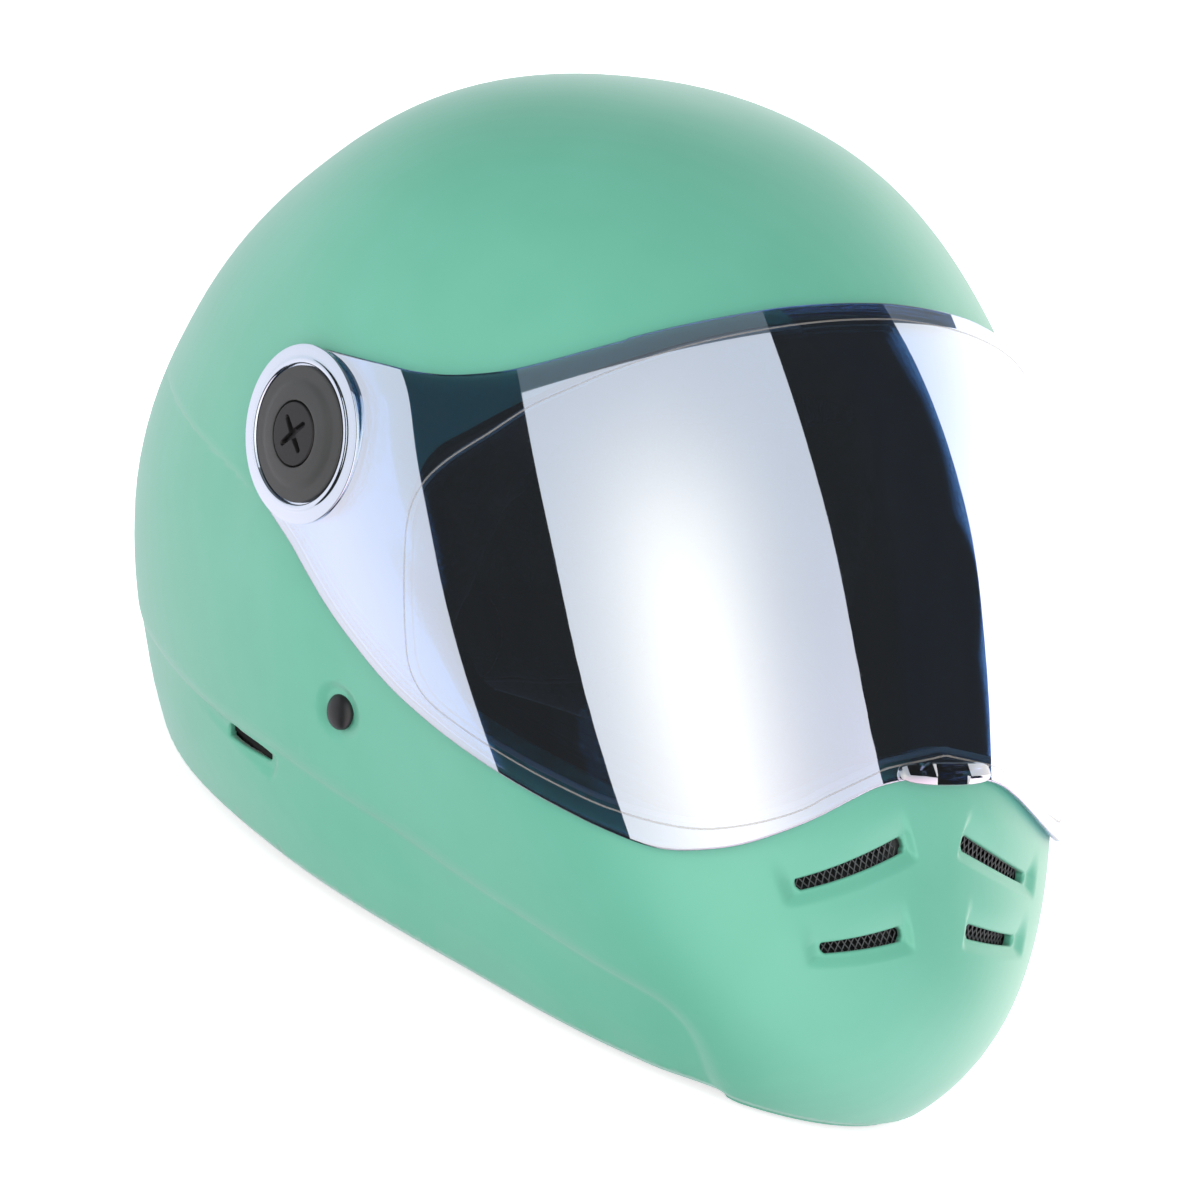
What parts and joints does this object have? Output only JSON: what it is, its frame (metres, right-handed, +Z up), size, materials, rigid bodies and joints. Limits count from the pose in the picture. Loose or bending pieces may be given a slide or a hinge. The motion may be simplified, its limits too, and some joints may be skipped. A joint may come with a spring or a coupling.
{
  "type": "full face bike helmet",
  "caption": "Full face downhill helmet with a mint green shell, a mirrored flip-up visor on two temple pivots, chin vents, padded lining and a D-ring chin strap.",
  "frame": {"origin": "middle of the helmet's plan at the level of its lower rim", "axes": "+X towards the wearer's left, -Y ahead out of the eye port, +Z up"},
  "size_m": [0.2524, 0.352, 0.25],
  "materials": {
    "shell_paint": "matte",
    "foam": "matte",
    "trim_rubber": "matte",
    "lining_fabric": "matte",
    "black_plastic": "satin",
    "white_plastic": "satin",
    "plated_steel": "satin",
    "black_metal": "satin",
    "webbing": "matte",
    "mirror_pane": "mirror",
    "clear_lens": "clear",
    "seal_bead": "matte",
    "clear_plastic": "clear"
  },
  "bodies": {
    "helmet": {"outer_shell": "shell_paint", "crown_liner": "foam", "chin_liner": "foam", "eye_port_gasket": "trim_rubber", "rim_trim": "trim_rubber", "crown_pad": "lining_fabric", "brow_pad": "lining_fabric", "cheek_pad_right": "lining_fabric", "cheek_pad_left": "lining_fabric", "neck_roll": "lining_fabric", "breath_guard": "trim_rubber", "chin_mesh_right": "black_plastic", "chin_mesh_left": "black_plastic", "ear_vent_mesh_right": "black_plastic", "ear_vent_mesh_left": "black_plastic", "pivot_base_right": "black_plastic", "pivot_base_left": "black_plastic", "pivot_nut_right": "plated_steel", "pivot_nut_left": "plated_steel", "pivot_washer_right": "white_plastic", "pivot_washer_left": "white_plastic", "pivot_cap_right": "black_plastic", "pivot_cap_left": "black_plastic", "strap_rivet_right": "black_metal", "strap_rivet_left": "black_metal", "rivet_washer_right": "plated_steel", "rivet_washer_left": "plated_steel", "chin_strap_right": "webbing", "chin_strap_left": "webbing", "snap_stud": "plated_steel", "snap_cap": "black_metal"},
    "visor": {"visor_pane": "mirror_pane", "anti_fog_lens": "clear_lens", "lens_seal": "seal_bead", "visor_tab": "clear_plastic", "visor_plate_right": "clear_plastic", "visor_plate_left": "clear_plastic"},
    "screw_right": {"pivot_screw_right": "black_plastic"},
    "screw_left": {"pivot_screw_left": "black_plastic"},
    "ring_outer": {"d_ring_outer": "plated_steel"},
    "ring_inner": {"d_ring_inner": "plated_steel"}
  },
  "joints": [
    {"name": "visor_hinge", "type": "hinge", "parent": "helmet", "child": "visor", "pos_m": [0, 0.02316, 0.138], "axis": [-1, 0, 0], "range_deg": [0, 58]},
    {"name": "screw_turn_right", "type": "hinge", "parent": "helmet", "child": "screw_right", "pos_m": [-0.12, 0.02316, 0.138], "axis": [-1, 0, 0], "range_deg": [0, 90]},
    {"name": "screw_turn_left", "type": "hinge", "parent": "helmet", "child": "screw_left", "pos_m": [0.12, 0.02316, 0.138], "axis": [1, 0, 0], "range_deg": [0, 90]},
    {"name": "ring_swing_outer", "type": "hinge", "parent": "helmet", "child": "ring_outer", "pos_m": [-0.0712, -0.01284, 0.018], "axis": [0, 1, 0], "range_deg": [0, 60]},
    {"name": "ring_swing_inner", "type": "hinge", "parent": "helmet", "child": "ring_inner", "pos_m": [-0.0668, -0.01284, 0.018], "axis": [0, -1, 0], "range_deg": [0, 60]}
  ]
}
